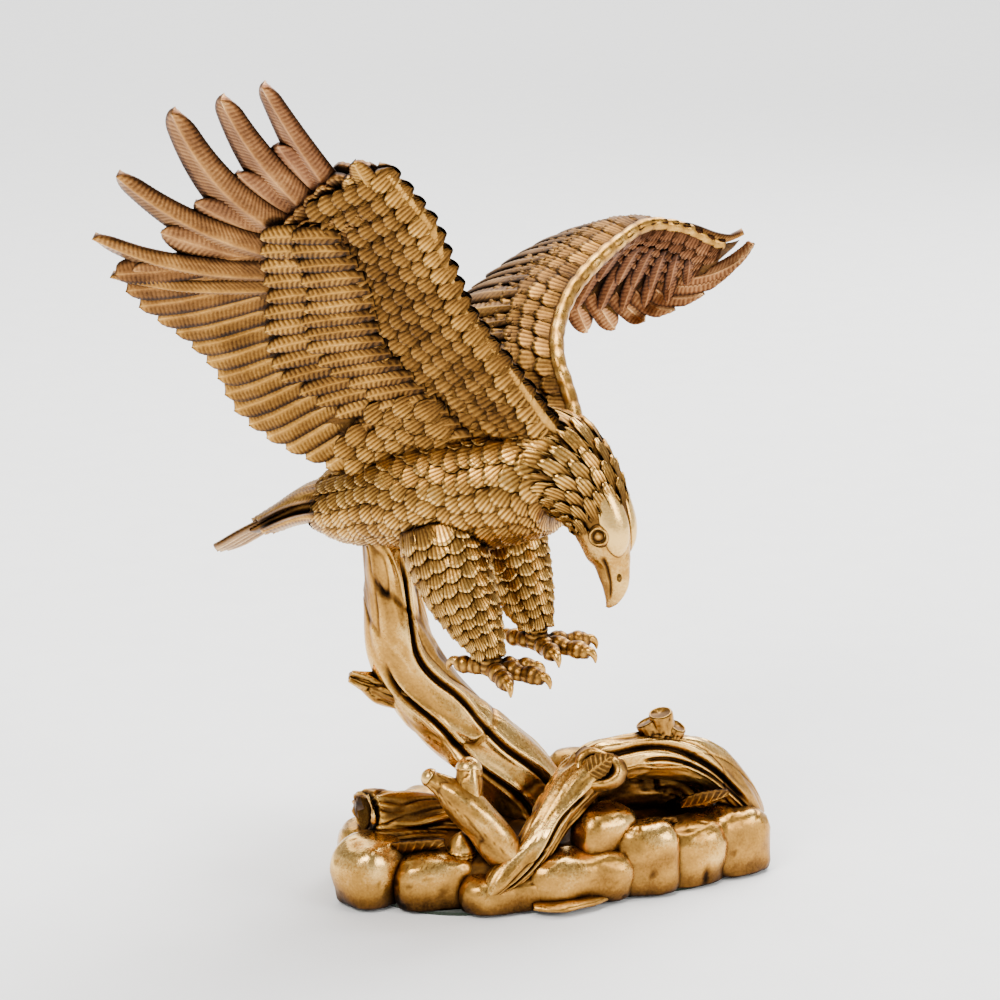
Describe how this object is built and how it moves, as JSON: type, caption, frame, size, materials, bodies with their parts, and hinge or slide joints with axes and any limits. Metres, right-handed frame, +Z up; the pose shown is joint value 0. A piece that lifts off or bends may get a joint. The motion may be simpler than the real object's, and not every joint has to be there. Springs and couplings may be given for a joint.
{
  "type": "eagle statuette",
  "caption": "Cast bronze eagle with raised wings, landing over a driftwood trunk that rises from an oval base of rocks and roots.",
  "frame": {"origin": "centre of the base's resting face, on the underside of the felt pad", "axes": "+Z up; -Y towards the display side; +X to the right as seen from the display side. The eagle heads between +X and -Y."},
  "size_m": [0.2695, 0.2231, 0.3434],
  "materials": {
    "cast_bronze": "antiqued cast bronze, gold on worn edges and dark brown in recesses",
    "pin_bronze": "plain turned bronze pins, hidden inside the joints",
    "plate_steel": "mild steel plate, ground",
    "zinc_steel": "bright zinc plated steel",
    "felt": "dark green wool felt"
  },
  "bodies": {
    "root": {"felt_pad": "felt", "base_plate": "plate_steel", "plate_screws": "zinc_steel", "rock_base": "cast_bronze", "trunk": "cast_bronze", "trunk_rod": "zinc_steel", "rod_washer": "zinc_steel", "rod_nut": "zinc_steel", "body_pin": "pin_bronze", "fallen_log": "cast_bronze", "log_pin": "pin_bronze", "arched_root": "cast_bronze", "root_pins": "pin_bronze", "forked_branch": "cast_bronze", "root_sprout": "cast_bronze", "knot_leaf": "cast_bronze", "upper_leaf": "cast_bronze", "lower_leaf": "cast_bronze", "rock_leaf": "cast_bronze", "acorn": "cast_bronze", "torso": "cast_bronze", "head": "cast_bronze", "neck_pin": "pin_bronze", "left_wing": "cast_bronze", "right_wing": "cast_bronze", "wing_pins": "pin_bronze", "tail": "cast_bronze", "tail_pin": "pin_bronze", "left_leg": "cast_bronze", "right_leg": "cast_bronze", "leg_pins": "pin_bronze", "left_foot": "cast_bronze", "right_foot": "cast_bronze", "foot_pins": "pin_bronze"}
  },
  "joints": []
}
